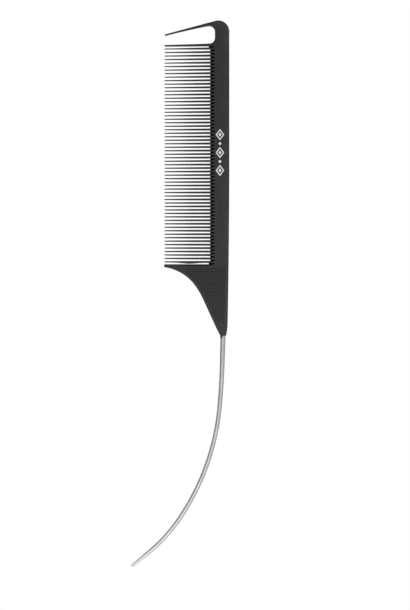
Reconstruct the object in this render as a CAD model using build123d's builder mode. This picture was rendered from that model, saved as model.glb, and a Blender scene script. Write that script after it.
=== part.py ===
"""Rat tail comb: a moulded comb with a parting hook, fine teeth and a curved steel tail pin.

The comb lies flat. +Y runs from the tail to the parting hook, the teeth point to -X, and the
faces of the comb are square to Z. Z = 0 is the face that the comb rests on. Millimetres.
"""
from build123d import *
from math import cos, radians, sin, tan
import os

# ---- driving dimensions ----------------------------------------------------------------
THICKNESS = 3.6            # across the two faces of the spine
MID = THICKNESS / 2

# spine: straight behind the hook, then bowed slightly forward towards the neck
BACK_X = 20.8
BOW_TOP_Y = 60.0
NECK_BACK = (20.1, -12.8)
BACK_EDGE_RADIUS = 0.7
CORNER_RADIUS = 4.7
CORNER_Y = 111.38          # centre of the rounded top corner

# parting hook and the window under it
HOOK_SLOPE = 15.05         # degrees, outer edge
HOOK_TIP_X = -6.5
HOOK_TIP_WIDTH = 0.75
HOOK_TIP_ROUND = 0.25
HOOK_INNER_SLOPE = 12.0    # degrees, inner edge at the root
HOOK_INNER_MID = (2.8, 111.7)
HOOK_ROOT_DEPTH = 1.2      # the hook joins the comb square to its outer edge over this depth
WINDOW_X = 14.68
WINDOW_TOP_Y = 111.13      # where the straight side meets the upper corner
WINDOW_TOP_RADIUS = 2.5
WINDOW_LOW_RADIUS = 2.5

# fine teeth
TEETH = 62
RIDGE_X = 12.65            # where a gap between two teeth ends
FIRST_TOOTH_Y = 104.14     # centre line at the root
FIRST_PITCH = 1.5025       # the row closes up slightly towards the handle
LAST_PITCH = 1.472
FIRST_LEAN = 0.66          # degrees, tips towards the handle, evening out along the row
LAST_LEAN = -0.12
TOOTH_TIP_X = -6.9
TOOTH_ROOT_WIDTH = 0.92
TOOTH_TIP_WIDTH = 0.49
TOOTH_POINT = 0.45         # length of the pointed end
TOOTH_POINT_WIDTH = 0.14

# the tooth side of the whole comb thins towards the tips
THIN_FROM_X = 2.0
TIP_THICKNESS = 1.5

# ramps that deepen the end of each gap on both faces
RAMP_X = 14.5
RAMP_RIDGE = 0.3           # left standing between the two ramps
RAMP_OVERCUT = 1.0

# guard teeth at both ends of the row
GUARD_TIP_X = -6.76
GUARD_LEAN = 0.37          # degrees
GUARD_GAP = 0.435          # between the upper guard tooth and the first fine tooth
GUARD_TIP_WIDTH = 0.71
GUARD_ROOT_WIDTH = 1.25
HEEL_GAP = 0.50            # between the last fine tooth and the lower guard tooth
HEEL_TIP_X = -6.35
HEEL_TIP_WIDTH = 1.35
GAP_CORNER_RADIUS = 0.2

# heel: the concave sweep from the lower guard tooth to the neck
HEEL_START_SLOPE = 9.25    # degrees
HEEL_BENDS = [(19.5, 45.85), (34.7, 10.2)]    # radius, degrees
HEEL_STRAIGHT = 14.0

# neck end, cut obliquely around the pin
NECK_END = [(19.4, -17.95), (18.0, -18.05), (17.2, -19.15), (16.95, -18.9), (16.85, -17.8)]

# grip: grooves pressed into both faces of the handle
GROOVES = 22
GROOVE_PITCH = 1.018
GROOVE_WIDTH = 0.45
GROOVE_DEPTH = 0.2
GROOVE_FIRST_Y = 10.6
GROOVE_MARGIN = 1.4        # plain border along the heel

# tail pin: straight, three bends, straight
PIN_EXIT = (18.11, -17.9)
PIN_LEAN = 1.64            # degrees, from -Y towards -X where it leaves the neck
PIN_STRAIGHT = 12.2
PIN_BENDS = [(269.0, 4.03), (100.6, 28.66), (68.5, 16.32)]   # radius, degrees
PIN_END_STRAIGHT = 8.6
PIN_DIAMETERS = [2.18, 2.04, 1.88, 1.84, 1.72, 1.16]         # at the ends of those stretches
SHANK_LENGTH = 12.0        # straight stretch inside the neck
SHANK_BEND_RADIUS = 7.0
SHANK_BEND = 40.0          # degrees, stops the pin turning or pulling out
SHANK_HOOK = 5.0

# printed ornament on the upper face: framed diamonds with dots between them
MARK_X = 16.8
MARK_Y = 59.9
MARK_PITCH = 7.6
MARK_STROKE = 0.42
MARK_THICKNESS = 0.04
DIAMOND_WIDTH = 3.6
DIAMOND_LENGTH = 4.8
CORE_SCALE = 0.36
DOT_RADIUS = 0.55


def tooth_y(index):
    """Centre line of a fine tooth at its root."""
    closing = (FIRST_PITCH - LAST_PITCH) / (TEETH - 2) / 2
    return FIRST_TOOTH_Y - index * FIRST_PITCH + closing * index * (index - 1)


def tooth_drop(index, x):
    """How far the centre line of a leaning fine tooth has dropped at x."""
    lean = FIRST_LEAN + (LAST_LEAN - FIRST_LEAN) * index / (TEETH - 1)
    return (RIDGE_X - x) * tan(radians(lean))


GUARD_Y = tooth_y(0) + TOOTH_ROOT_WIDTH / 2 + GUARD_GAP          # lower edge of the upper guard tooth
HEEL_Y = tooth_y(TEETH - 1) - TOOTH_ROOT_WIDTH / 2 - HEEL_GAP    # upper edge of the lower one
GUARD_TIP_Y = GUARD_Y - (RIDGE_X - GUARD_TIP_X) * tan(radians(GUARD_LEAN))
WINDOW_LOW_Y = GUARD_Y + (WINDOW_X - RIDGE_X) * tan(radians(GUARD_LEAN)) + GUARD_ROOT_WIDTH


def gap_edges(index):
    """Lower and upper edge of a gap at its root; gap 0 lies under the upper guard tooth."""
    low = HEEL_Y if index == TEETH else tooth_y(index) + TOOTH_ROOT_WIDTH / 2
    high = GUARD_Y if index == 0 else tooth_y(index - 1) - TOOTH_ROOT_WIDTH / 2
    return low, high


hook_slope = radians(HOOK_SLOPE)
HOOK_START = Vector(BACK_X - CORNER_RADIUS, CORNER_Y) + CORNER_RADIUS * Vector(
    -sin(hook_slope), cos(hook_slope)
)
HOOK_TIP_Y = HOOK_START.Y - (HOOK_START.X - HOOK_TIP_X) * tan(hook_slope)
HOOK_ROOT = HOOK_START + HOOK_ROOT_DEPTH * Vector(sin(hook_slope), -cos(hook_slope))

os.makedirs("parts", exist_ok=True)

# ---- section shared by everything on the tooth side ---------------------------------------
with BuildPart() as thinning:
    with BuildSketch(Plane.XZ):
        with BuildLine():
            Polyline(
                (BACK_X + 1, 0),
                (THIN_FROM_X, 0),
                (HOOK_TIP_X - 1, MID - TIP_THICKNESS / 2),
                (HOOK_TIP_X - 1, MID + TIP_THICKNESS / 2),
                (THIN_FROM_X, THICKNESS),
                (BACK_X + 1, THICKNESS),
                close=True,
            )
        make_face()
    extrude(amount=CORNER_Y + 2 * CORNER_RADIUS, both=True)

# ---- tail pin ---------------------------------------------------------------------------
lean = radians(PIN_LEAN)
outward = Vector(-sin(lean), -cos(lean))

with BuildLine() as tail_line:
    stretch = Line(PIN_EXIT, Vector(*PIN_EXIT) + PIN_STRAIGHT * outward)
    for bend_radius, turn in PIN_BENDS:
        stretch = JernArc(stretch @ 1, stretch % 1, bend_radius, -turn)
    Line(stretch @ 1, stretch @ 1 + PIN_END_STRAIGHT * (stretch % 1))

with BuildLine() as shank_line:
    shank_run = Line(PIN_EXIT, Vector(*PIN_EXIT) - SHANK_LENGTH * outward)
    shank_turn = JernArc(shank_run @ 1, shank_run % 1, SHANK_BEND_RADIUS, SHANK_BEND)
    Line(shank_turn @ 1, shank_turn @ 1 + SHANK_HOOK * (shank_turn % 1))

tail_path = Pos(0, 0, MID) * tail_line.wire()
shank_path = Pos(0, 0, MID) * shank_line.wire()

with BuildPart() as shank:
    with BuildSketch(Plane(origin=shank_path @ 0, z_dir=shank_path % 0)):
        Circle(PIN_DIAMETERS[0] / 2)
    sweep(path=shank_path)

with BuildPart() as tail_pin:
    add(shank.part)
    for run, first, last in zip(tail_path.edges(), PIN_DIAMETERS, PIN_DIAMETERS[1:]):
        with BuildSketch(Plane(origin=run @ 0, z_dir=run % 0)):
            Circle(first / 2)
        with BuildSketch(Plane(origin=run @ 1, z_dir=run % 1)):
            Circle(last / 2)
        sweep(path=run, multisection=True)
    with Locations(tail_path @ 1):
        Sphere(PIN_DIAMETERS[-1] / 2)

# ---- outline of the comb without its hook and fine teeth -----------------------------------
with BuildLine() as window_corner:
    JernArc((WINDOW_X, WINDOW_TOP_Y), (0, 1), WINDOW_TOP_RADIUS, 90 + HOOK_INNER_SLOPE)

with BuildSketch() as blade:
    with BuildLine():
        bow = TangentArc((BACK_X, BOW_TOP_Y), NECK_BACK, tangent=(0, -1))
        TangentArc(NECK_BACK, NECK_END[0], tangent=bow % 1)
        Polyline(*NECK_END)
        Polyline((HEEL_TIP_X, HEEL_Y), (RIDGE_X, HEEL_Y), (RIDGE_X, GUARD_Y), (GUARD_TIP_X, GUARD_TIP_Y))
        heel = ThreePointArc(
            (HEEL_TIP_X, HEEL_Y),
            (HEEL_TIP_X - HEEL_TIP_WIDTH / 2, HEEL_Y - HEEL_TIP_WIDTH / 2),
            (HEEL_TIP_X, HEEL_Y - HEEL_TIP_WIDTH),
        )
        slope = radians(HEEL_START_SLOPE)
        heading = Vector(cos(slope), -sin(slope))
        for bend_radius, turn in HEEL_BENDS:
            heel = JernArc(heel @ 1, heading, bend_radius, -turn)
            heading = heel % 1
        Polyline(heel @ 1, heel @ 1 + HEEL_STRAIGHT * heading, NECK_END[-1])
        guard_tip = ThreePointArc(
            (GUARD_TIP_X, GUARD_TIP_Y),
            (GUARD_TIP_X - GUARD_TIP_WIDTH / 2, GUARD_TIP_Y + GUARD_TIP_WIDTH / 2),
            (GUARD_TIP_X, GUARD_TIP_Y + GUARD_TIP_WIDTH),
        )
        Polyline(guard_tip @ 1, (WINDOW_X, WINDOW_LOW_Y), (WINDOW_X, WINDOW_TOP_Y))
        add(window_corner.line)
        Polyline(window_corner.line @ 1, HOOK_ROOT, HOOK_START)
        JernArc(HOOK_START, (cos(hook_slope), sin(hook_slope)), CORNER_RADIUS, -90 - HOOK_SLOPE)
        Line((BACK_X, CORNER_Y), (BACK_X, BOW_TOP_Y))
    make_face()
    corners = [
        (WINDOW_X, WINDOW_LOW_Y, WINDOW_LOW_RADIUS),
        (RIDGE_X, GUARD_Y, GAP_CORNER_RADIUS),
        (RIDGE_X, HEEL_Y, GAP_CORNER_RADIUS),
    ]
    for x, y, radius in corners:
        fillet(blade.vertices().sort_by_distance((x, y))[0], radius)

# ---- parting hook: one slim arm that thins towards its tip ---------------------------------
with BuildPart() as parting_hook:
    with BuildSketch():
        with BuildLine():
            tip_low = (HOOK_TIP_X, HOOK_TIP_Y - HOOK_TIP_WIDTH)
            tip_end = (HOOK_TIP_X - HOOK_TIP_ROUND, HOOK_TIP_Y - HOOK_TIP_WIDTH / 2)
            ThreePointArc(window_corner.line @ 1, HOOK_INNER_MID, tip_low)
            ThreePointArc(tip_low, tip_end, (HOOK_TIP_X, HOOK_TIP_Y))
            Polyline((HOOK_TIP_X, HOOK_TIP_Y), HOOK_START, HOOK_ROOT, window_corner.line @ 1)
        make_face()
    extrude(amount=THICKNESS)
    add(thinning.part, mode=Mode.INTERSECT)

# ---- grip grooves: straight stripes inside a plain border -----------------------------------
with BuildSketch() as stripes:
    with Locations([(0, GROOVE_FIRST_Y - index * GROOVE_PITCH) for index in range(GROOVES)]):
        Rectangle(2 * BACK_X, GROOVE_WIDTH)

with BuildSketch() as grip:
    add(blade.sketch)
    offset(amount=-GROOVE_MARGIN, mode=Mode.REPLACE)
    add(stripes.sketch, mode=Mode.INTERSECT)

# ---- ramps at the ends of the gaps, cut from both faces ------------------------------------
with BuildSketch() as ramp_profile:
    with BuildLine():
        Polyline(
            (RIDGE_X - RAMP_OVERCUT, MID + RAMP_RIDGE / 2),
            (RIDGE_X, MID + RAMP_RIDGE / 2),
            (RAMP_X, THICKNESS),
            (RAMP_X, THICKNESS + RAMP_OVERCUT),
            (RIDGE_X - RAMP_OVERCUT, THICKNESS + RAMP_OVERCUT),
            close=True,
        )
    make_face()

with BuildPart() as gap_ramps:
    for gap in range(TEETH + 1):
        gap_low, gap_high = gap_edges(gap)
        with BuildSketch(Plane.XZ.offset(-gap_high)):
            add(ramp_profile.sketch)
        extrude(amount=gap_high - gap_low)
    mirror(about=Plane.XY.offset(MID))

# ---- comb body: spine, guard teeth, heel and neck, with the hook ---------------------------
with BuildPart() as comb_body:
    extrude(blade.sketch, amount=THICKNESS)
    add(thinning.part, mode=Mode.INTERSECT)
    back_edges = [
        edge
        for edge in comb_body.edges().filter_by(Plane.XY)
        if (edge @ 0.5).X > HOOK_START.X + 1 and (edge @ 0.5).Y > NECK_BACK[1] - CORNER_RADIUS
    ]
    fillet(back_edges, BACK_EDGE_RADIUS)
    add(parting_hook.part)
    add(gap_ramps.part, mode=Mode.SUBTRACT)
    extrude(grip.sketch, amount=GROOVE_DEPTH, mode=Mode.SUBTRACT)
    extrude(Pos(0, 0, THICKNESS) * grip.sketch, amount=-GROOVE_DEPTH, mode=Mode.SUBTRACT)
    add(tail_pin.part, mode=Mode.SUBTRACT)

# ---- fine teeth -----------------------------------------------------------------------------
with BuildPart() as fine_teeth:
    with BuildSketch():
        for index in range(TEETH):
            root_y = tooth_y(index)
            tip_y = root_y - tooth_drop(index, TOOTH_TIP_X)
            shoulder_x = TOOTH_TIP_X + TOOTH_POINT
            shoulder_y = root_y - tooth_drop(index, shoulder_x)
            with BuildLine():
                Polyline(
                    (RIDGE_X, root_y + TOOTH_ROOT_WIDTH / 2),
                    (shoulder_x, shoulder_y + TOOTH_TIP_WIDTH / 2),
                    (TOOTH_TIP_X, tip_y + TOOTH_POINT_WIDTH / 2),
                    (TOOTH_TIP_X, tip_y - TOOTH_POINT_WIDTH / 2),
                    (shoulder_x, shoulder_y - TOOTH_TIP_WIDTH / 2),
                    (RIDGE_X, root_y - TOOTH_ROOT_WIDTH / 2),
                    close=True,
                )
            make_face()
    extrude(amount=THICKNESS)
    add(thinning.part, mode=Mode.INTERSECT)

# ---- printed ornament -----------------------------------------------------------------------
with BuildSketch() as diamond:
    with BuildLine():
        Polyline(
            (DIAMOND_WIDTH / 2, 0),
            (0, DIAMOND_LENGTH / 2),
            (-DIAMOND_WIDTH / 2, 0),
            (0, -DIAMOND_LENGTH / 2),
            close=True,
        )
    make_face()

with BuildPart() as spine_mark:
    with BuildSketch(Plane.XY.offset(THICKNESS)):
        with Locations([(MARK_X, MARK_Y + index * MARK_PITCH) for index in (-1, 0, 1)]):
            add(diamond.sketch)
            add(offset(diamond.sketch, amount=-MARK_STROKE, mode=Mode.PRIVATE), mode=Mode.SUBTRACT)
            add(scale(diamond.sketch, by=CORE_SCALE, mode=Mode.PRIVATE))
        with Locations([(MARK_X, MARK_Y + index * MARK_PITCH) for index in (-0.5, 0.5)]):
            Circle(DOT_RADIUS)
    extrude(amount=MARK_THICKNESS)

# ---- files ------------------------------------------------------------------------------------
pieces = {
    "comb_body": comb_body,
    "fine_teeth": fine_teeth,
    "tail_pin": tail_pin,
    "spine_mark": spine_mark,
}
for name, piece in pieces.items():
    piece.part.label = name
    export_step(piece.part, f"parts/{name}.step")
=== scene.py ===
"""Looks of the rat tail comb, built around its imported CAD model.

The meshes are worked out in millimetres, with heights measured from the comb's middle plane, and
are scaled to metres when they become Blender objects.
"""
import math
from collections import namedtuple

import bpy
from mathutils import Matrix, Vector
from mathutils.geometry import delaunay_2d_cdt


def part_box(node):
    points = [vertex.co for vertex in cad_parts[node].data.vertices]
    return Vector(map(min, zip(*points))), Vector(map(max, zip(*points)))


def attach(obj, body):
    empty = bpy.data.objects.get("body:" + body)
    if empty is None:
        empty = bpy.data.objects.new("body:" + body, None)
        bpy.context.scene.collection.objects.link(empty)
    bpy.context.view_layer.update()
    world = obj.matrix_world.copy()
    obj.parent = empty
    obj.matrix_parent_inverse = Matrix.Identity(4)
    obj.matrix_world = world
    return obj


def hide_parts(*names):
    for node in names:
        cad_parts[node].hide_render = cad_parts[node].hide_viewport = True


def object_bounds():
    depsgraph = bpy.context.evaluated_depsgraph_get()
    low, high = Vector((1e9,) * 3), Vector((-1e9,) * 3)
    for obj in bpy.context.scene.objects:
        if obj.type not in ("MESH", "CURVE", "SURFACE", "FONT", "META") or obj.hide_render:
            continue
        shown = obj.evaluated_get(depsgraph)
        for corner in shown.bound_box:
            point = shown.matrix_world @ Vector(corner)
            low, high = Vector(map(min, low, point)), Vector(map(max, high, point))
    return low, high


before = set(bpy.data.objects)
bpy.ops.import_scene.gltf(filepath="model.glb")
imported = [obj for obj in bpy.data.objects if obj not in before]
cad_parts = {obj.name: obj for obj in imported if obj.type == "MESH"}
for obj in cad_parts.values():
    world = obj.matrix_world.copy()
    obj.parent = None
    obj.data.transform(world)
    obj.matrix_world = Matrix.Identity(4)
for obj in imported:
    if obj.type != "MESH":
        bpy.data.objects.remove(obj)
cad_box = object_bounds()

MM = 0.001

# ---- sizes that the frame holds ------------------------------------------------------------------
body_low, body_high = (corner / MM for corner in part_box("comb_body"))
teeth_low, teeth_high = (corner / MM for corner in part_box("fine_teeth"))

MID = (body_low.z + body_high.z) / 2
FULL = body_high.z - MID     # half thickness over the spine
BACK_X = body_high.x
TOOTH_TIP_X = teeth_low.x
RIDGE_X = teeth_high.x       # where a gap between two teeth ends

# ---- teeth ---------------------------------------------------------------------------------------
TEETH = 62
TOOTH_ROOT_WIDTH = 0.92
TOOTH_TIP_WIDTH = 0.49
TOOTH_POINT = 0.45           # length of the rounded point
TOOTH_SWELLS = [             # around x, over this reach: extra width of the first and the last tooth
    (-1.0, 4.5, -0.045, 0.055),
    (5.0, 3.0, 0.0, 0.065),
]
END_SWELL = (3.8, 3.6, 0.40)         # the same for the lower side of the last tooth alone
FIRST_TOOTH_Y = teeth_high.y - TOOTH_ROOT_WIDTH / 2
PITCH = (teeth_high.y - teeth_low.y - TOOTH_ROOT_WIDTH) / (TEETH - 1)
PITCH_SPREAD = 0.0305        # the row closes up by this much from its first pitch to its last
FIRST_LEAN = math.radians(0.66)      # tips towards the handle, evening out along the row
LAST_LEAN = math.radians(-0.12)
RAMP_X = 14.5                # where the ramp at the end of a gap reaches the face
RIDGE_HALF = 0.15            # half height of the ridge between the two ramps
END_GAP_SHORT = 0.6          # the first and the last gap end sooner
THIN_FROM_X = 2.0            # the comb thins from here to the tips
THIN_SLOPE = 0.105
THIN_BLEND = 2.0
TIP_ROUND_LENGTH = 1.6
TIP_ROUND_HEIGHT = 0.45      # share of the height left at the very tip

# ---- hook, window and top corner -----------------------------------------------------------------
CORNER_RADIUS = 4.7
CORNER_Y = body_high.y - CORNER_RADIUS
HOOK_SLOPE = math.radians(15.05)
HOOK_INNER_SLOPE = math.radians(12.0)
HOOK_INNER_MID = (2.8, 111.7)
HOOK_TIP_X = -6.5
HOOK_TIP_WIDTH = 0.75
WINDOW_X = 14.68
WINDOW_TOP_Y = 111.13
WINDOW_TOP_RADIUS = 2.5
WINDOW_LOW_RADIUS = 2.5
GUARD_TIP_X = -6.76
GUARD_LEAN = math.radians(0.37)
GUARD_GAP = 0.435            # between the upper guard tooth and the first fine tooth
GUARD_TIP_WIDTH = 0.71
GUARD_ROOT_WIDTH = 1.25

# ---- spine, heel and neck ------------------------------------------------------------------------
BOW_TOP_Y = 60.0
NECK_BACK_Y = -12.8
BOW_RADIUS = 3786.0
NECK_CURVE = 0.0227
HEEL_GAP = 0.50              # between the last fine tooth and the lower guard tooth
HEEL_TIP_X = -6.35
HEEL_TIP_WIDTH = 1.35
HEEL_START_SLOPE = math.radians(9.25)
HEEL_BENDS = [(19.5, math.radians(45.85)), (34.7, math.radians(10.2))]
HEEL_STRAIGHT = 14.0
NECK_END = [(16.85, -17.8), (16.95, -18.9), (17.2, -19.15), (18.0, -18.05), (19.4, -17.95)]
BACK_ROUND = 1.3             # width of the rounded back edge along the handle
SPINE_ROUND = 3.4            # its width along the spine
ROUND_BLEND = (11.4, 18.0)   # from one width to the other between these heights
BACK_DROP = 0.62             # height of the rounded edge

# ---- grip grooves --------------------------------------------------------------------------------
GROOVES = 22
GROOVE_PITCH = 1.018
GROOVE_FIRST_Y = 10.6
GROOVE_WIDTH = 0.45
GROOVE_DEPTH = 0.13
GROOVE_MARGIN = 1.4
GROOVE_LEFT_X = 2.2
GROOVE_FADE = 0.4
TOP_RUB_AND_HIGHLIGHT = 3.0               # how much more the edges are lightened around the hook and its window: burnishing and painted highlight
GRIP_PAINTED_SHADE = 0.22             # how much painted shade (darker colour, less sheen) the grip gets, on a scale where the ends of the gaps get 1

# ---- tail pin ------------------------------------------------------------------------------------
PIN_EXIT = (18.11, -17.9)
PIN_LEAN = math.radians(1.64)
PIN_BURIED = 10.0
PIN_RUNS = [                 # length or radius, turn, diameters at the two ends
    ("straight", 12.2, 0.0, 2.18, 2.04),
    ("bend", 269.0, math.radians(4.03), 2.04, 1.88),
    ("bend", 100.6, math.radians(28.66), 1.88, 1.84),
    ("bend", 68.5, math.radians(16.32), 1.84, 1.72),
    ("straight", 8.6, 0.0, 1.72, 1.16),
]
PIN_SIDES = 36
PIN_STEP = 0.8

RINGS = 4                    # steps in every rounded edge
DRAFT = 0.02                 # lean of the side walls away from the parting line


def tooth_y(index):
    """Centre line of a fine tooth at its root."""
    closing = PITCH_SPREAD / (TEETH - 2) / 2
    return FIRST_TOOTH_Y - index * (PITCH + PITCH_SPREAD / 2) + closing * index * (index - 1)


def tooth_drop(index, x):
    """How far the centre line of a leaning fine tooth has dropped at x."""
    lean = FIRST_LEAN + (LAST_LEAN - FIRST_LEAN) * index / (TEETH - 1)
    return (RIDGE_X - x) * math.tan(lean)


GUARD_Y = tooth_y(0) + TOOTH_ROOT_WIDTH / 2 + GUARD_GAP          # lower edge of the upper guard tooth
HEEL_Y = tooth_y(TEETH - 1) - TOOTH_ROOT_WIDTH / 2 - HEEL_GAP    # upper edge of the lower one


def gap_edges(index):
    """Lower and upper edge of a gap at its root; gap 0 lies under the upper guard tooth."""
    low = HEEL_Y if index == TEETH else tooth_y(index) + TOOTH_ROOT_WIDTH / 2
    high = GUARD_Y if index == 0 else tooth_y(index - 1) - TOOTH_ROOT_WIDTH / 2
    return low, high


def half_thickness(x):
    """Height of the face above the middle plane."""
    reach = THIN_FROM_X + THIN_BLEND - x
    if reach <= 0:
        return FULL
    if reach < 2 * THIN_BLEND:
        return FULL - THIN_SLOPE * reach ** 2 / (4 * THIN_BLEND)
    return FULL - THIN_SLOPE * (reach - THIN_BLEND)


def tip_height(x, tip_x):
    """The same near the end of an arm, where the faces round off."""
    along = min(max((x - tip_x) / TIP_ROUND_LENGTH, 0), 1)
    share = TIP_ROUND_HEIGHT + (1 - TIP_ROUND_HEIGHT) * math.sqrt(1 - (1 - along) ** 2)
    return half_thickness(x) * share


def back_x(y):
    """Outline of the back edge, bowed below BOW_TOP_Y and turned in at the neck."""
    if y >= BOW_TOP_Y:
        return BACK_X
    if y >= NECK_BACK_Y:
        return BACK_X - (BOW_TOP_Y - y) ** 2 / (2 * BOW_RADIUS)
    fall = NECK_BACK_Y - y
    slope = (BOW_TOP_Y - NECK_BACK_Y) / BOW_RADIUS
    return back_x(NECK_BACK_Y) - slope * fall - NECK_CURVE * fall ** 2


def back_round(y):
    """Width of the rounded back edge."""
    low, high = ROUND_BLEND
    share = min(max((y - low) / (high - low), 0), 1)
    return BACK_ROUND + (SPINE_ROUND - BACK_ROUND) * share


def spread(first, last, count):
    """Evenly spaced values from first to last, both included."""
    return [first + (last - first) * step / (count - 1) for step in range(count)]


def arc(centre, radius, start, end, count):
    """Points of an arc; angles in degrees."""
    return [
        (centre[0] + radius * math.cos(math.radians(a)), centre[1] + radius * math.sin(math.radians(a)))
        for a in spread(start, end, count)
    ]


# ---- the rim: every point of the moulding's outline, with the material on the left ------------------
# x, y: place; top: height of the face; plan, rise: the rounded edge's two radii;
# before, after: height at which the wall below ends on each side of the point;
# flat: the edge is a chamfer.
Station = namedtuple("Station", "x y top plan rise before after flat")


def station(x, y, top, plan, rise=None, before=0.0, after=None, flat=False):
    """A point of the rim; a plan of 0 is a sharp corner, and walls reach the middle plane by default."""
    rise = plan if rise is None else rise
    rise = min(rise, 0.8 * (top - before)) if plan else 0.0
    return Station(x, y, top, plan, rise, before, before if after is None else after, flat)


def ramp_height(x, ridge_x):
    """Height of the ramp at the end of a gap."""
    return RIDGE_HALF + (FULL - RIDGE_HALF) * (x - ridge_x) / (RAMP_X - ridge_x)


TOOTH_XS = [RAMP_X, 14.3, 13.8, 13.2, RIDGE_X, RIDGE_X - END_GAP_SHORT]
TOOTH_XS += [11.0, 9.5, 8.0, 6.5, 5.0, 4.0, 3.0, 2.0, 1.0, 0.0, -1.5, -3.0, -4.3, -5.2, -5.8, -6.2]


def notch_side(y_of, width_of, ridge_x, tip_x, inward):
    """One side of a tooth from the end of its gap to near its tip, or back, as stations."""
    side = []
    for x in TOOTH_XS if inward else reversed(TOOTH_XS):
        plan = 0.36 * width_of(x)
        top = tip_height(x, tip_x)
        if x <= ridge_x:
            low = high = 0.0
            if x == ridge_x:
                high = RIDGE_HALF
        else:
            low = high = ramp_height(x, ridge_x)
            plan *= (RAMP_X - x) / (RAMP_X - ridge_x)
        if x == RAMP_X:
            side.append(station(x, y_of(x), FULL, 0.0, 0.0, FULL))
        elif inward:
            side.append(station(x, y_of(x), top, plan, 1.5 * plan, high, low))
        else:
            side.append(station(x, y_of(x), top, plan, 1.5 * plan, low, high))
    return side


def round_tip(tip_x, base_x, y_high, y_low, plan, count=7):
    """Half an ellipse around the end of an arm, from its upper edge down, without its two ends."""
    middle = (y_high + y_low) / 2
    half = (y_high - y_low) / 2
    points = []
    for angle in spread(90, -90, count)[1:-1]:
        x = base_x - (base_x - tip_x) * math.cos(math.radians(angle))
        y = middle + half * math.sin(math.radians(angle))
        points.append(station(x, y, tip_height(x, tip_x), plan, 1.5 * plan))
    return points


def swell(x, centre, reach):
    """A smooth hump of height 1 at its centre."""
    return math.exp(-((x - centre) / reach) ** 2)


def tooth_width(index, x):
    """Width of a fine tooth at x."""
    share = (x - TOOTH_TIP_X - TOOTH_POINT) / (RIDGE_X - TOOTH_TIP_X - TOOTH_POINT)
    width = TOOTH_TIP_WIDTH + (TOOTH_ROOT_WIDTH - TOOTH_TIP_WIDTH) * min(max(share, 0), 1)
    for centre, reach, first, last in TOOTH_SWELLS:
        width += (first + (last - first) * index / (TEETH - 1)) * swell(x, centre, reach)
    return width


def tooth_edge(index, x, side):
    """Upper edge of a fine tooth at x (side 1), or its lower edge (side -1)."""
    y = tooth_y(index) - tooth_drop(index, x) + side * tooth_width(index, x) / 2
    if index == TEETH - 1 and side < 0:
        centre, reach, amount = END_SWELL
        y -= amount * swell(x, centre, reach)
    return y


def heel_chamfer(x):
    """Size of the chamfer along the lower guard tooth, which fades out at the tip."""
    return min(max(1.9 + 0.3 * x, 0.8), 2.6)


def ridge_of(gap):
    """Where a gap ends; the first and the last one end sooner."""
    return RIDGE_X - END_GAP_SHORT if gap in (0, TEETH) else RIDGE_X


def guard_width(x):
    share = (x - GUARD_TIP_X) / (WINDOW_X - GUARD_TIP_X)
    return GUARD_TIP_WIDTH + (GUARD_ROOT_WIDTH - GUARD_TIP_WIDTH) * share


def guard_low(x):
    return GUARD_Y - (RIDGE_X - x) * math.tan(GUARD_LEAN)


def guard_high(x):
    return guard_low(x) + guard_width(x)


rim = []
places = {}

# back edge, from the first row of the spine strip up to the last one
row_ys = [y for gap in range(TEETH, -1, -1) for y in gap_edges(gap)]
places["back"] = len(rim)
rim += [station(back_x(y), y, FULL, back_round(y), BACK_DROP) for y in row_ys]
places["top_start"] = len(rim) - 1
rim += [station(BACK_X, y, FULL, SPINE_ROUND, BACK_DROP) for y in spread(GUARD_Y, CORNER_Y, 6)[1:-1]]
corner = arc((BACK_X - CORNER_RADIUS, CORNER_Y), CORNER_RADIUS, 0, 90 + math.degrees(HOOK_SLOPE), 22)
for (x, y), plan in zip(corner, spread(SPINE_ROUND, 2.4, len(corner))):
    rim.append(station(x, y, FULL, plan, BACK_DROP))

# hook: outer edge, tip, inner edge
hook_start_x, hook_start_y = rim[-1].x, rim[-1].y
HOOK_XS = [13.6, 12.4, 11.2, 10.0, 8.5, 7.0, 5.5, 4.0, 3.0]
HOOK_XS += [2.0, 1.0, 0.0, -1.5, -3.0, -4.2, -5.0, -5.7, -6.2]


def hook_outer_y(x):
    return hook_start_y - (hook_start_x - x) * math.tan(HOOK_SLOPE)


hook_tip_y = hook_outer_y(HOOK_TIP_X)
corner_end = (
    WINDOW_X - WINDOW_TOP_RADIUS * (1 + math.sin(HOOK_INNER_SLOPE)),
    WINDOW_TOP_Y + WINDOW_TOP_RADIUS * math.cos(HOOK_INNER_SLOPE),
)


def through(p, q, r):
    """Height of the parabola through three points, as a function of x."""
    def height(x):
        return (
            p[1] * (x - q[0]) * (x - r[0]) / ((p[0] - q[0]) * (p[0] - r[0]))
            + q[1] * (x - p[0]) * (x - r[0]) / ((q[0] - p[0]) * (q[0] - r[0]))
            + r[1] * (x - p[0]) * (x - q[0]) / ((r[0] - p[0]) * (r[0] - q[0]))
        )
    return height


hook_inner_y = through((HOOK_TIP_X, hook_tip_y - HOOK_TIP_WIDTH), HOOK_INNER_MID, corner_end)


def hook_station(x, y):
    plan = min(0.32 * (hook_outer_y(x) - hook_inner_y(x)), 0.9)
    return station(x, y, tip_height(x, HOOK_TIP_X - 0.3), plan, 1.2 * plan)


places["hook_outer"] = len(rim)
rim += [hook_station(x, hook_outer_y(x)) for x in HOOK_XS]
places["hook_tip"] = len(rim)
last_x = HOOK_XS[-1]
rim += round_tip(HOOK_TIP_X - 0.25, last_x, hook_outer_y(last_x), hook_inner_y(last_x), 0.10)
places["hook_inner"] = len(rim)
inner_xs = [x for x in reversed(HOOK_XS) if x < corner_end[0] - 0.5]
rim += [hook_station(x, hook_inner_y(x)) for x in inner_xs]

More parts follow.
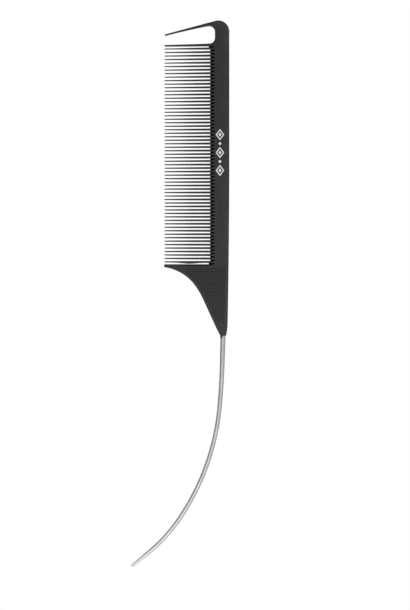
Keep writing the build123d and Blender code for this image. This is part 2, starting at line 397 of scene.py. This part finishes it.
# window
WINDOW_ROUND = 0.45
guard_slope = math.atan((guard_high(WINDOW_X) - guard_high(GUARD_TIP_X)) / (WINDOW_X - GUARD_TIP_X))
low_centre = (
    WINDOW_X - WINDOW_LOW_RADIUS,
    guard_high(WINDOW_X - WINDOW_LOW_RADIUS) + WINDOW_LOW_RADIUS / math.cos(guard_slope),
)
window = arc(
    (WINDOW_X - WINDOW_TOP_RADIUS, WINDOW_TOP_Y),
    WINDOW_TOP_RADIUS,
    90 + math.degrees(HOOK_INNER_SLOPE),
    0,
    12,
)
window += arc(low_centre, WINDOW_LOW_RADIUS, 0, -90 + math.degrees(guard_slope), 12)
rim += [station(x, y, FULL, WINDOW_ROUND) for x, y in window]

# upper guard tooth: upper edge, tip, then its lower edge as the first side of gap 0
GUARD_XS = [x for x in TOOTH_XS if x < low_centre[0] - 0.3]
places["guard_upper"] = len(rim)
for x in GUARD_XS:
    plan = 0.36 * guard_width(x)
    rim.append(station(x, guard_high(x), tip_height(x, GUARD_TIP_X - 0.2), plan, 1.4 * plan))
last_x = GUARD_XS[-1]
rim += round_tip(GUARD_TIP_X - 0.25, last_x, guard_high(last_x), guard_low(last_x), 0.10)
places["guard_lower"] = len(rim)
rim += notch_side(guard_low, guard_width, ridge_of(0), GUARD_TIP_X - 0.2, False)

# fine teeth
teeth = []
for tooth in range(TEETH):
    def width_of(x):
        return tooth_width(tooth, x)

    first = len(rim)
    rim += notch_side(lambda x: tooth_edge(tooth, x, 1), width_of, ridge_of(tooth), TOOTH_TIP_X, True)
    tip_high, tip_low = (tooth_edge(tooth, TOOTH_XS[-1], side) for side in (1, -1))
    rim += round_tip(TOOTH_TIP_X, TOOTH_XS[-1], tip_high, tip_low, 0.07)
    rim += notch_side(lambda x: tooth_edge(tooth, x, -1), width_of, ridge_of(tooth + 1), TOOTH_TIP_X, False)
    teeth.append((first, len(rim) - 1))

# lower guard tooth: upper edge, tip, then the heel's sweep
places["heel_upper"] = len(rim)
rim += [
    s._replace(plan=0.7 * s.plan, rise=0.8 * s.rise, flat=True) if s.plan else s
    for s in notch_side(lambda x: HEEL_Y, heel_chamfer, ridge_of(TEETH), HEEL_TIP_X - 0.6, True)
]


def heel_point(angle):
    """A point of the heel's first bend, where the sweep slopes down by this angle."""
    radius = HEEL_BENDS[0][0]
    return (
        HEEL_TIP_X + radius * (math.sin(angle) - math.sin(HEEL_START_SLOPE)),
        HEEL_Y - HEEL_TIP_WIDTH - radius * (math.cos(HEEL_START_SLOPE) - math.cos(angle)),
    )


def heel_angle(x):
    """The slope of the heel's first bend at x."""
    return math.asin(math.sin(HEEL_START_SLOPE) + (x - HEEL_TIP_X) / HEEL_BENDS[0][0])


def soften(corners, reach, steps=4):
    """A polyline with each inner corner rounded over a short reach."""
    points = [corners[0]]
    for before, corner, after in zip(corners, corners[1:], corners[2:]):
        a, b, c = Vector(before), Vector(corner), Vector(after)
        start = b + (a - b).normalized() * reach
        end = b + (c - b).normalized() * reach
        for t in spread(0, 1, steps):
            points.append(tuple(start * (1 - t) ** 2 + 2 * b * t * (1 - t) + end * t ** 2))
    return points + [corners[-1]]


HEEL_XS = [x for x in reversed(TOOTH_XS) if x <= 4.0]
tip_bottom = heel_point(heel_angle(HEEL_XS[0]))[1]
rim += round_tip(HEEL_TIP_X - HEEL_TIP_WIDTH / 2, HEEL_XS[0], HEEL_Y, tip_bottom, 0.2, 9)
sweep = [heel_point(heel_angle(x)) for x in HEEL_XS]
end_1 = HEEL_START_SLOPE + HEEL_BENDS[0][1]
end_2 = end_1 + HEEL_BENDS[1][1]
sweep += [heel_point(angle) for angle in spread(heel_angle(HEEL_XS[-1]), end_1, 6)[1:]]
x, y = sweep[-1]
for angle in spread(end_1, end_2, 6)[1:]:
    sweep.append((
        x + HEEL_BENDS[1][0] * (math.sin(angle) - math.sin(end_1)),
        y - HEEL_BENDS[1][0] * (math.cos(end_1) - math.cos(angle)),
    ))
x, y = sweep[-1]
for run in spread(0, HEEL_STRAIGHT, 9)[1:-1]:
    sweep.append((x + run * math.cos(end_2), y - run * math.sin(end_2)))
places["heel_lower"] = len(rim)
for x, y in sweep:
    plan = min(0.28 + 0.025 * (x - HEEL_TIP_X), 0.8, 0.07 + 0.3 * (y - NECK_END[0][1]))
    rim.append(station(x, y, tip_height(x, HEEL_TIP_X - 0.5), plan, 1.2 * plan))
x, y = rim[-1].x, rim[-1].y
step = HEEL_STRAIGHT / 8
corners = [(x + step * 0.5 * math.cos(end_2), y - step * 0.5 * math.sin(end_2))]
corners += [(x + step * math.cos(end_2), y - step * math.sin(end_2))] + NECK_END
corners += [(back_x(NECK_END[-1][1] + 0.5), NECK_END[-1][1] + 0.5)]
rim += [station(x, y, FULL, 0.05, 0.14) for x, y in soften(corners, 0.17)]
neck_ys = spread(NECK_END[-1][1] + 1.1, HEEL_Y, 22)[:-1]
for y in neck_ys:
    share = min(0.25 + 0.12 * (y - neck_ys[0]), 1.0)
    rim.append(station(back_x(y), y, FULL, share * back_round(y), share * BACK_DROP))

# ---- surface of the upper half, from the rim inwards -------------------------------------------------
points = []                  # x, y, height above the middle plane
faces = []


def add_point(x, y, height):
    points.append((x, y, height))
    return len(points) - 1


def add_face(ids):
    """A face, leaving out corners that coincide."""
    kept = [a for a, b in zip(ids, ids[1:] + ids[:1]) if a != b]
    if len(kept) > 2:
        faces.append(kept)


def inward(index):
    """Direction into the material at a point of the rim, stretched at corners."""
    here = Vector((rim[index].x, rim[index].y))
    last, following = rim[index - 1], rim[(index + 1) % len(rim)]
    a = (here - Vector((last.x, last.y))).normalized()
    b = (Vector((following.x, following.y)) - here).normalized()
    normal = Vector((-a.y - b.y, a.x + b.x)).normalized()
    return normal / max(normal.dot(Vector((-a.y, a.x))), 0.7)


rings = []                   # point numbers from the wall's top to the flat face
floors = []                  # point numbers where the wall ends, before and after the rim's point
for index, s in enumerate(rim):
    if s.plan == 0:
        point = add_point(s.x, s.y, s.top)
        rings.append([point] * RINGS)
        floors.append((point, point))
        continue
    normal = inward(index)
    ring = []
    for step in spread(0, 1, RINGS):
        across = step if s.flat else 1 - math.cos(step * math.pi / 2)
        up = step if s.flat else math.sin(step * math.pi / 2)
        inset = DRAFT + s.plan * across
        height = s.top - s.rise * (1 - up)
        ring.append(add_point(s.x + normal.x * inset, s.y + normal.y * inset, height))
    rings.append(ring)
    before = add_point(s.x, s.y, s.before)
    floors.append((before, before if s.after == s.before else add_point(s.x, s.y, s.after)))

gap_corners = []             # the rim's points at the two inner corners of each gap
for index in range(len(rim)):
    following = (index + 1) % len(rim)
    if rim[index].plan == 0 and rim[following].plan == 0:
        gap_corners.append((index, following))
        continue
    here, there = rings[index], rings[following]
    for outer, inner in zip(range(RINGS - 1), range(1, RINGS)):
        add_face([here[outer], there[outer], there[inner], here[inner]])
    wall = [floors[index][1], floors[following][0]]
    if rim[following].after > rim[following].before:
        wall.append(floors[following][1])
    wall += [there[0], here[0]]
    if rim[index].before > rim[index].after:
        wall.append(floors[index][0])
    add_face(wall)

# ramps and ridges at the ends of the gaps
for gap, (above, below) in enumerate(gap_corners):
    while rim[above].x > ridge_of(gap):
        add_face([floors[above][1], floors[above - 1][1], floors[below + 1][0], floors[below][0]])
        above, below = above - 1, below + 1
    add_face([floors[above][0], floors[below][1], floors[below][0], floors[above][1]])

# faces of the fine teeth
for first, last in teeth:
    while last - first > 2:
        add_face([rings[first][-1], rings[first + 1][-1], rings[last - 1][-1], rings[last][-1]])
        first, last = first + 1, last - 1
    add_face([rings[first][-1], rings[first + 1][-1], rings[last][-1]])

# face of the spine between the gaps and the back edge
row_of = {}
for row, gap in enumerate(range(TEETH, -1, -1)):
    row_of[gap] = (rings[2 * row][-1], rings[2 * row + 1][-1])
for gap, (above, below) in enumerate(gap_corners):
    low, high = row_of[gap]
    add_face([rings[below][-1], low, high, rings[above][-1]])
    if gap < TEETH:
        next_above = gap_corners[gap + 1][0]
        add_face([rings[next_above][-1], row_of[gap + 1][1], low, rings[below][-1]])


def fill(border, links, extra=(), extra_links=()):
    """Triangles over a region: border and links are point numbers, extra points come with heights.

    Returns the numbers of the extra points.
    """
    spots = [points[number] for number in border] + list(extra)
    position = {number: place for place, number in enumerate(border)}
    edges = [(place, (place + 1) % len(border)) for place in range(len(border))]
    edges += [(position[a], position[b]) for a, b in links]
    edges += [(len(border) + a, len(border) + b) for a, b in extra_links]
    numbers = list(border) + [add_point(*spot) for spot in extra]
    flat = [Vector(spot[:2]) for spot in spots]
    found, _, triangles, origins, _, _ = delaunay_2d_cdt(flat, edges, [], 1, 1e-7)
    ids = []
    for spot, origin in zip(found, origins):
        ids.append(numbers[origin[0]] if origin else add_point(spot.x, spot.y, half_thickness(spot.x)))
    for triangle in triangles:
        a, b, c = (found[corner] for corner in triangle)
        turn = (b - a).cross(c - a)
        add_face([ids[corner] for corner in (triangle if turn > 0 else triangle[::-1])])
    return numbers[len(border):]


def rungs(first_range, second_range):
    """Links across an arm, between points of its two edges at the same x."""
    across = {rim[index].x: rings[index][-1] for index in second_range if rim[index].plan}
    met = [index for index in first_range if rim[index].plan and rim[index].x in across]
    return [(rings[index][-1], across[rim[index].x]) for index in met]


top_end = gap_corners[0][0]
border = [rings[index][-1] for index in range(places["top_start"], top_end + 1)]
links = rungs(
    range(places["hook_outer"], places["hook_tip"]),
    range(places["hook_inner"], places["guard_upper"]),
)
links += rungs(range(places["guard_upper"], places["guard_lower"]), range(places["guard_lower"], top_end))
fill(border, links)

# grip grooves: each a shallow trough that fades out at both ends
margin_line = []
for index in range(places["heel_lower"], places["heel_lower"] + len(sweep)):
    normal = inward(index)
    margin_line.append((rim[index].x + normal.x * GROOVE_MARGIN, rim[index].y + normal.y * GROOVE_MARGIN))


def margin_x(y):
    for (x_0, y_0), (x_1, y_1) in zip(margin_line, margin_line[1:]):
        if y_1 <= y <= y_0:
            return x_0 + (x_1 - x_0) * (y_0 - y) / (y_0 - y_1)
    return margin_line[-1][0]


groove_points = []
groove_links = []
for groove in range(GROOVES):
    y = GROOVE_FIRST_Y - groove * GROOVE_PITCH
    left = max(margin_x(y), GROOVE_LEFT_X)
    right = back_x(y) - GROOVE_MARGIN
    xs = [left, left + GROOVE_FADE, right - GROOVE_FADE, right]
    across = [-0.5, -0.3, 0.0, 0.3, 0.5]
    start = len(groove_points)
    for column, x in enumerate(xs):
        for share in across:
            depth = GROOVE_DEPTH * math.cos(math.pi * share) ** 2 if column in (1, 2) else 0.0
            groove_points.append((x, y + share * GROOVE_WIDTH, half_thickness(x) - depth))
    for column in range(4):
        for row in range(5):
            here = start + 5 * column + row
            if column < 3:
                groove_links.append((here, here + 5))
            if row < 4:
                groove_links.append((here, here + 1))

border = [rings[index][-1] for index in range(places["heel_upper"], len(rim))] + [rings[0][-1]]
links = rungs(
    range(places["heel_upper"], places["heel_lower"]),
    range(places["heel_lower"], places["heel_lower"] + len(HEEL_XS)),
)
grip = fill(border, links, groove_points, groove_links)


# ---- Blender objects ---------------------------------------------------------------------------------
def make_object(name, vertices, polygons, sharp_degrees=38):
    """A mesh object from vertices in millimetres, smooth except where it folds sharply."""
    mesh = bpy.data.meshes.new(name)
    mesh.from_pydata([Vector(v) * MM for v in vertices], [], polygons)
    mesh.validate()
    mesh.shade_smooth()
    mesh.set_sharp_from_angle(angle=math.radians(sharp_degrees))
    made = bpy.data.objects.new(name, mesh)
    bpy.context.scene.collection.objects.link(made)
    return made


def add_values(mesh, name, values):
    """A named value at each vertex, for a material to read."""
    layer = mesh.attributes.new(name, "FLOAT", "POINT")
    layer.data.foreach_set("value", values)


def moulding():
    """Both halves of the comb, joined at the parting line; its vertices carry edge amounts for burnishing
    and painted highlight, and painted shade for the gap ends and grip grooves.
    """
    edge = {}
    # painted shade on the grip grooves: a darker colour with less sheen
    painted_shade = dict.fromkeys(grip, GRIP_PAINTED_SHADE)
    for index, (ring, wall, s) in enumerate(zip(rings, floors, rim)):
        # edges around the hook and its window are lightened more: painted highlight on these edges
        rub_and_highlight_gain = TOP_RUB_AND_HIGHLIGHT if places["top_start"] < index < places["guard_upper"] else 1.0
        for number, amount in zip(ring, [0.9, 1.0, 0.7, 0.1]):
            edge[number] = amount * rub_and_highlight_gain * min(s.plan, 1.0)
        # painted shade on the walls and ramps at the ends of the gaps, and on the edges just above them
        if s.plan and s.before + s.after > 0:
            painted_shade.update({wall[0]: 1.0, wall[1]: 1.0, ring[0]: 1.0, ring[1]: 0.5})
    vertices, edge_amounts, painted_shade_amounts = [], [], []
    upper, lower = {}, {}
    for number in sorted({number for face in faces for number in face}):
        x, y, height = points[number]
        for half, side in ((upper, 1), (lower, -1)):
            if side < 0 and height == 0:
                half[number] = upper[number]
                continue
            half[number] = len(vertices)
            vertices.append((x, y, MID + side * height))
            edge_amounts.append(edge.get(number, 0.0))
            painted_shade_amounts.append(painted_shade.get(number, 0.0))
    polygons = [[upper[number] for number in face] for face in faces]
    polygons += [[lower[number] for number in reversed(face)] for face in faces]
    piece = make_object("comb_moulding", vertices, polygons)
    add_values(piece.data, "edge", edge_amounts)
    add_values(piece.data, "painted_shade", painted_shade_amounts)
    weighted = piece.modifiers.new("weighted", "WEIGHTED_NORMAL")
    weighted.keep_sharp = True
    return piece


def pin_line():
    """Centre line of the pin from its buried end to its tip: place, heading and radius at each step."""
    heading = -math.pi / 2 - PIN_LEAN
    direction = Vector((math.cos(heading), math.sin(heading)))
    place = Vector(PIN_EXIT)
    radius = PIN_RUNS[0][3] / 2
    line = [(place - direction * PIN_BURIED, direction, radius), (place - direction, direction, radius)]
    for kind, size, turn, first, last in PIN_RUNS:
        length = size if kind == "straight" else size * turn
        steps = math.ceil(length / PIN_STEP)
        begin, centre = place, place + size * Vector((direction.y, -direction.x))
        for step in range(steps):
            share = step / steps
            line.append((place, direction, (first + (last - first) * share) / 2))
            heading -= turn / steps
            direction = Vector((math.cos(heading), math.sin(heading)))
            if kind == "straight":
                place = begin + direction * length * (step + 1) / steps
            else:
                place = centre - size * Vector((direction.y, -direction.x))
    line.append((place, direction, PIN_RUNS[-1][4] / 2))
    return line


def pin():
    """The tail pin as a round tube with a domed tip; its vertices know their length along it."""
    line = pin_line()
    end, direction, end_radius = line[-1]
    for angle in spread(0, math.pi / 2, 7)[1:-1]:
        place = end + direction * end_radius * math.sin(angle)
        line.append((place, direction, end_radius * math.cos(angle)))
    tip = end + direction * end_radius
    vertices, polygons, lengths = [], [], [0.0]
    for place, direction, radius in line:
        for side in range(PIN_SIDES):
            angle = 2 * math.pi * side / PIN_SIDES - math.pi / 2
            out = math.cos(angle) * radius
            vertices.append((
                place.x + direction.y * out,
                place.y - direction.x * out,
                MID + math.sin(angle) * radius,
            ))
    for (a, _, _), (b, _, _) in zip(line, line[1:]):
        lengths.append(lengths[-1] + (b - a).length)
    for row in range(len(line) - 1):
        for side in range(PIN_SIDES):
            following = (side + 1) % PIN_SIDES
            here, there = row * PIN_SIDES, (row + 1) * PIN_SIDES
            polygons.append([here + side, there + side, there + following, here + following])
    vertices.append((tip.x, tip.y, MID))
    last_row = (len(line) - 1) * PIN_SIDES
    for side in range(PIN_SIDES):
        polygons.append([last_row + side, len(vertices) - 1, last_row + (side + 1) % PIN_SIDES])
    polygons.append(list(range(PIN_SIDES)))
    piece = make_object("steel_pin", vertices, polygons)
    along = [length for length in lengths for side in range(PIN_SIDES)] + [lengths[-1]]
    add_values(piece.data, "along", along)
    return piece


# ---- materials ---------------------------------------------------------------------------------------
class Graph:
    """A material's node tree, with short calls to add and link nodes."""

    def __init__(self, name):
        self.material = bpy.data.materials.new(name)
        self.material.use_nodes = True
        self.tree = self.material.node_tree
        self.shader = self.tree.nodes["Principled BSDF"]

    def node(self, kind, inputs=None, **settings):
        made = self.tree.nodes.new("ShaderNode" + kind)
        for key, value in settings.items():
            setattr(made, key, value)
        for key, value in (inputs or {}).items():
            self.put(made, key, value)
        return made

    def put(self, node, key, value):
        """A socket gets a constant, or a link from another node's socket."""
        if isinstance(value, bpy.types.NodeSocket):
            self.tree.links.new(value, node.inputs[key])
        else:
            node.inputs[key].default_value = value

    def noise(self, vector, size, detail=3.0, rough=0.5):
        """Noise from 0 to 1 with features of about this size in metres."""
        inputs = {"Vector": vector, "Scale": 1 / size, "Detail": detail, "Roughness": rough}
        return self.node("TexNoise", inputs).outputs["Fac"]

    def remap(self, value, low, high, new_low, new_high):
        inputs = {0: value, 1: low, 2: high, 3: new_low, 4: new_high}
        return self.node("MapRange", inputs).outputs["Result"]

    def math(self, operation, first, second):
        return self.node("Math", {0: first, 1: second}, operation=operation).outputs[0]

    def mix(self, factor, first, second):
        made = self.node("Mix", data_type="RGBA")
        self.put(made, "Factor", factor)
        self.put(made, 6, first)
        self.put(made, 7, second)
        return made.outputs[2]

    def bump(self, height, distance, strength=1.0, normal=None):
        made = self.node("Bump", {"Height": height, "Distance": distance, "Strength": strength})
        if normal is not None:
            self.put(made, "Normal", normal)
        return made.outputs["Normal"]


def rgba(red, green, blue):
    return (red, green, blue, 1.0)


def carbon_plastic():
    """Near-black carbon-filled plastic: matte, faintly mottled, edges lightened by burnishing and painted
    highlight, painted shade at the gap ends and grip grooves.
    """
    g = Graph("carbon_plastic")
    spot = g.node("TexCoord").outputs["Object"]
    clouds = g.noise(spot, 0.009, 4.0, 0.6)
    speckle = g.noise(spot, 0.00035, 2.0)
    grain = g.noise(spot, 0.00016, 3.0, 0.65)
    edge = g.node("Attribute", attribute_name="edge").outputs["Fac"]
    painted_shade = g.node("Attribute", attribute_name="painted_shade").outputs["Fac"]
    # edge lightening: partly burnishing, partly painted highlight
    rub_and_highlight = g.math("MULTIPLY", edge, g.remap(g.noise(spot, 0.004, 3.0), 0.35, 0.7, 0.25, 1.0))
    mottle = g.remap(clouds, 0.3, 0.7, 0.0, 1.0)
    colour = g.mix(mottle, rgba(0.0064, 0.0040, 0.0066), rgba(0.0082, 0.0056, 0.0084))
    colour = g.mix(g.remap(speckle, 0.58, 0.74, 0.0, 0.75), colour, rgba(0.020, 0.019, 0.020))
    # edges lighter in colour: partly burnishing, partly painted highlight
    colour = g.mix(g.math("MULTIPLY", rub_and_highlight, 0.6), colour, rgba(0.036, 0.035, 0.036))
    # painted shade: near-black colour at the ends of the gaps and in the grip grooves
    colour = g.mix(painted_shade, colour, rgba(0.001, 0.001, 0.001))
    rough = g.remap(g.noise(spot, 0.0025, 3.0), 0.3, 0.7, 0.42, 0.50)
    rough = g.math("SUBTRACT", rough, g.math("MULTIPLY", rub_and_highlight, 0.10))
    g.put(g.shader, "Base Color", colour)
    g.put(g.shader, "Roughness", rough)
    # painted shade: the specular fades out where the shade is painted
    g.put(g.shader, "Specular IOR Level", g.remap(painted_shade, 0.0, 1.0, 0.55, 0.0))
    waves = g.bump(g.noise(spot, 0.0022, 2.0), 0.00002, 0.5)
    g.put(g.shader, "Normal", g.bump(grain, 0.000012, 0.8, waves))
    return g.material


def ground_steel():
    """Pin steel: satin, with faint grinding marks around it, slightly cloudy and brighter near its tip."""
    g = Graph("ground_steel")
    spot = g.node("TexCoord").outputs["Object"]
    along = g.node("Attribute", attribute_name="along").outputs["Fac"]
    across = g.node("VectorMath", {0: spot, 1: (0.25, 0.25, 0.25)}, operation="MULTIPLY").outputs[0]
    marks_at = g.node("CombineXYZ", {"X": along}).outputs[0]
    marks_at = g.node("VectorMath", {0: marks_at, 1: (MM, MM, MM)}, operation="MULTIPLY").outputs[0]
    marks_at = g.node("VectorMath", {0: marks_at, 1: across}, operation="ADD").outputs[0]
    marks = g.noise(marks_at, 0.00022, 3.0, 0.6)
    cloud = g.noise(spot, 0.006, 4.0, 0.55)
    colour = g.mix(g.remap(cloud, 0.3, 0.7, 0.0, 1.0), rgba(0.465, 0.440, 0.421), rgba(0.540, 0.512, 0.490))
    near_tip = g.remap(along, 85.0, 128.0, 0.0, 0.5)
    colour = g.mix(near_tip, colour, rgba(0.80, 0.78, 0.755))
    g.put(g.shader, "Base Color", colour)
    g.put(g.shader, "Metallic", 1.0)
    g.put(g.shader, "Roughness", g.remap(marks, 0.3, 0.7, 0.46, 0.52))
    g.put(g.shader, "Normal", g.bump(marks, 0.000004, 0.5))
    return g.material


def white_ink():
    """Printed ink: flat white, a little uneven, with the grain of the plastic showing through."""
    g = Graph("white_ink")
    spot = g.node("TexCoord").outputs["Object"]
    patch = g.noise(spot, 0.0012, 4.0, 0.6)
    worn = g.remap(patch, 0.35, 0.7, 0.0, 1.0)
    g.put(g.shader, "Base Color", g.mix(worn, rgba(0.94, 0.94, 0.94), rgba(0.84, 0.84, 0.84)))
    g.put(g.shader, "Roughness", g.remap(patch, 0.3, 0.7, 0.55, 0.7))
    g.put(g.shader, "Normal", g.bump(g.noise(spot, 0.00016, 3.0, 0.65), 0.000008, 0.6))
    return g.material


def dress(piece, material):
    """The whole piece wears this material."""
    piece.data.materials.clear()
    piece.data.materials.append(material)


# ---- the pieces --------------------------------------------------------------------------------------
comb = moulding()
dress(comb, carbon_plastic())
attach(comb, "root")
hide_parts("comb_body", "fine_teeth")

tail = pin()
dress(tail, ground_steel())
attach(tail, "root")
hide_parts("tail_pin")

ink = white_ink()
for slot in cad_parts["spine_mark"].material_slots:
    slot.material = ink

# ---- floor, light and camera -------------------------------------------------------------------------
FLOOR_SIZE = 4.0
CAMERA_AT = (10.455, -4.866)     # where the camera looks, in millimetres
VIEW_HEIGHT = 259.25
SKY_TOP = 0.69
SKY_DARK = 0.02
SKY_PALE = 0.69
SKY_PALE_SIDE = (0.68, -0.73, 0.0)
LENS = 600.0
SENSOR = 36.0


def floor():
    """A pale table that the camera sees as pure white, without the comb's shadow."""
    half = FLOOR_SIZE / 2 / MM
    below = cad_box[0].z / MM - 0.05
    corners = [(-half, -half, below), (half, -half, below), (half, half, below), (-half, half, below)]
    made = make_object("floor", corners, [[0, 1, 2, 3]])
    g = Graph("pale_table")
    paint = g.node("BsdfDiffuse", {"Color": rgba(0.62, 0.62, 0.62)})
    glow = g.node("Emission", {"Color": rgba(1, 1, 1), "Strength": 1.0})
    seen = g.node("LightPath").outputs["Is Camera Ray"]
    both = g.node("MixShader", {0: seen, 1: paint.outputs[0], 2: glow.outputs[0]})
    g.tree.links.new(both.outputs[0], g.tree.nodes["Material Output"].inputs["Surface"])
    g.tree.nodes.remove(g.shader)
    dress(made, g.material)


def softbox(name, place, target, width, height, radiance):
    """A rectangular light of the given brightness that the camera doesn't see."""
    light = bpy.data.lights.new(name, "AREA")
    light.shape = "RECTANGLE"
    light.size, light.size_y = width, height
    light.energy = radiance * math.pi * width * height
    made = bpy.data.objects.new(name, light)
    made.location = place
    made.rotation_euler = (Vector(target) - Vector(place)).to_track_quat("-Z", "Y").to_euler()
    made.visible_camera = False
    bpy.context.scene.collection.objects.link(made)


def sky():
    """A studio dome: bright overhead; low down it is dark behind the teeth and pale on the other side."""
    world = bpy.data.worlds.new("studio")
    world.use_nodes = True
    nodes, links = world.node_tree.nodes, world.node_tree.links
    background = nodes["Background"]

    def node(kind, *inputs, **settings):
        made = nodes.new("ShaderNode" + kind)
        for key, value in settings.items():
            setattr(made, key, value)
        for number, value in enumerate(inputs):
            if isinstance(value, bpy.types.NodeSocket):
                links.new(value, made.inputs[number])
            else:
                made.inputs[number].default_value = value
        return made

    direction = node("TexCoord").outputs["Generated"]
    split = node("SeparateXYZ", direction)
    side = node("VectorMath", direction, SKY_PALE_SIDE, operation="DOT_PRODUCT").outputs["Value"]
    smooth = {"interpolation_type": "SMOOTHSTEP"}
    low = node("MapRange", side, -0.9, 0.9, SKY_DARK, SKY_PALE, **smooth).outputs[0]
    height = node("MapRange", split.outputs["Z"], 0.15, 0.9, 0.0, 1.0, **smooth).outputs[0]
    glow = node("MapRange", height, 0.0, 1.0, low, SKY_TOP).outputs[0]
    seen = node("LightPath").outputs["Is Camera Ray"]
    glow = node("MapRange", seen, 0.0, 1.0, glow, 0.9).outputs[0]
    links.new(glow, background.inputs["Strength"])
    background.inputs["Color"].default_value = rgba(1, 1, 1)
    bpy.context.scene.world = world


def lights():
    """One broad softbox overhead, set towards the tail."""
    x, y = CAMERA_AT[0] * MM, CAMERA_AT[1] * MM
    softbox("key", (x, y - 0.215, 0.25), (x, y - 0.214, 0), 0.5, 0.35, 1.35)


def camera():
    """A long lens straight above the comb, +Y up in the picture."""
    data = bpy.data.cameras.new("camera")
    data.lens, data.sensor_width = LENS, SENSOR
    data.clip_start, data.clip_end = 0.05, 20.0
    made = bpy.data.objects.new("camera", data)
    distance = VIEW_HEIGHT * MM * LENS / SENSOR
    made.location = (CAMERA_AT[0] * MM, CAMERA_AT[1] * MM, MID * MM + distance)
    bpy.context.scene.collection.objects.link(made)
    bpy.context.scene.camera = made


floor()
sky()
lights()
camera()
bpy.context.scene.view_settings.view_transform = "Standard"
